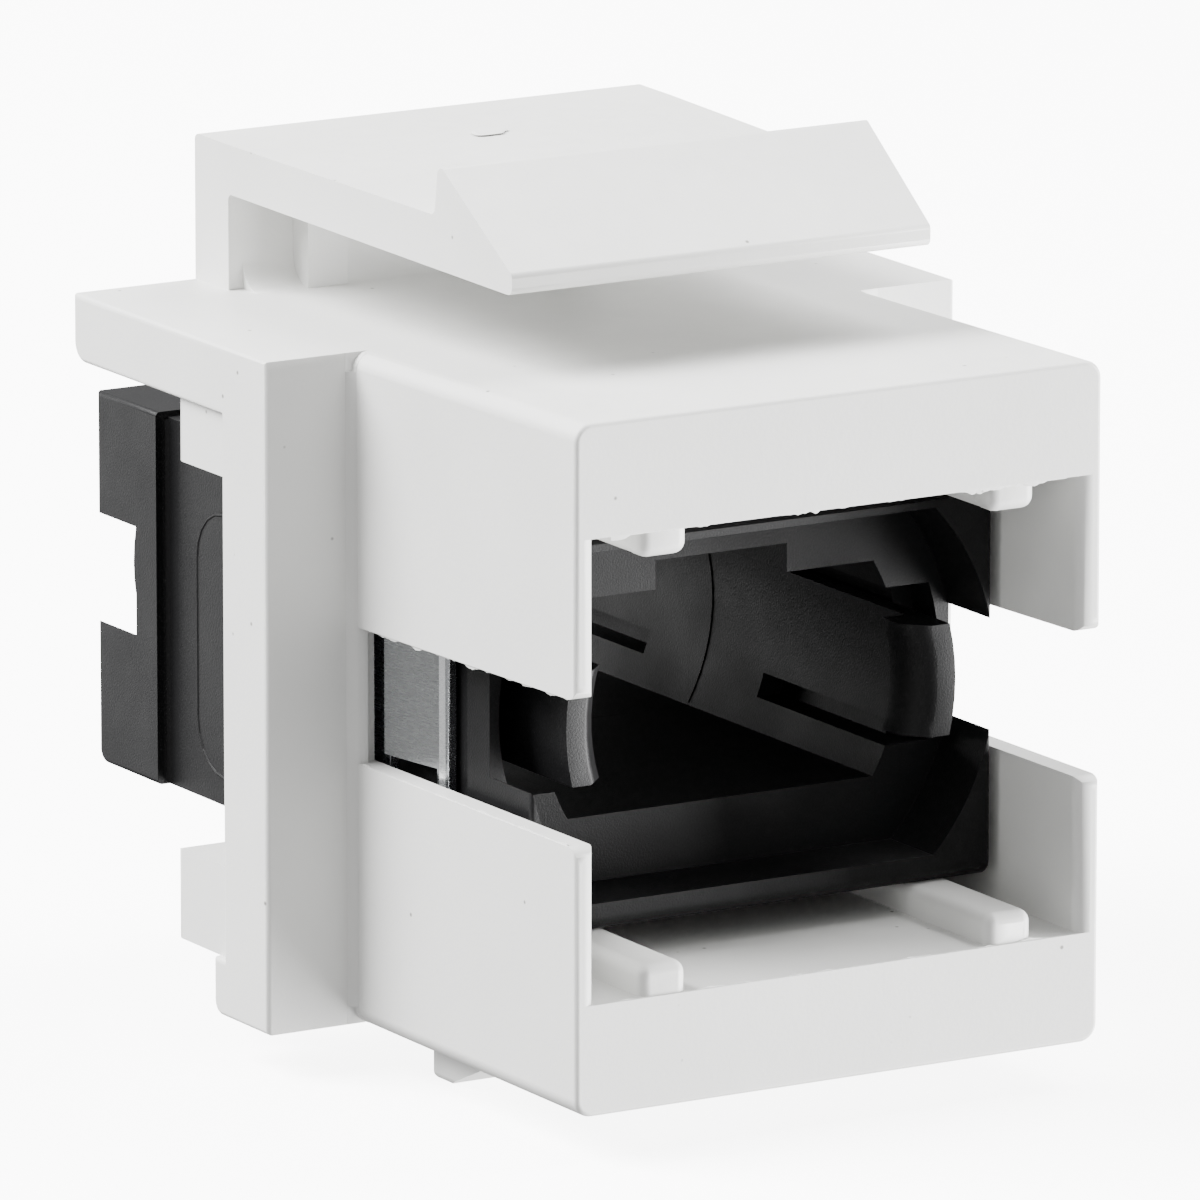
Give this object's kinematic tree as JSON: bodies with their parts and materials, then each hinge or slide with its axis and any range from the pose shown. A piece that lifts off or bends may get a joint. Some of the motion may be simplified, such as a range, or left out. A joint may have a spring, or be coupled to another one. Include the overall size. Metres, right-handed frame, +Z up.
{
  "type": "snap-in fibre adapter",
  "caption": "Snap-in panel housing with a sprung latch, holding a two-part through adapter with latch arms for flat multi-fibre plugs.",
  "frame": {"origin": "on the axis of the plug channel, in the plane of the flange face that seats on the panel", "axes": "+X to the right seen from the front, +Y from the front opening to the rear port, +Z up towards the sprung latch"},
  "size_m": [0.0194, 0.0247, 0.0222],
  "materials": {
    "white_abs": "moulded, fine spark texture",
    "black_pbt": "moulded, fine grain",
    "spring_steel": "bright rolled strip"
  },
  "bodies": {
    "root": {"keystone_housing": "white_abs", "adapter_front_half": "black_pbt", "adapter_rear_half": "black_pbt", "retaining_clip": "spring_steel"}
  },
  "joints": []
}
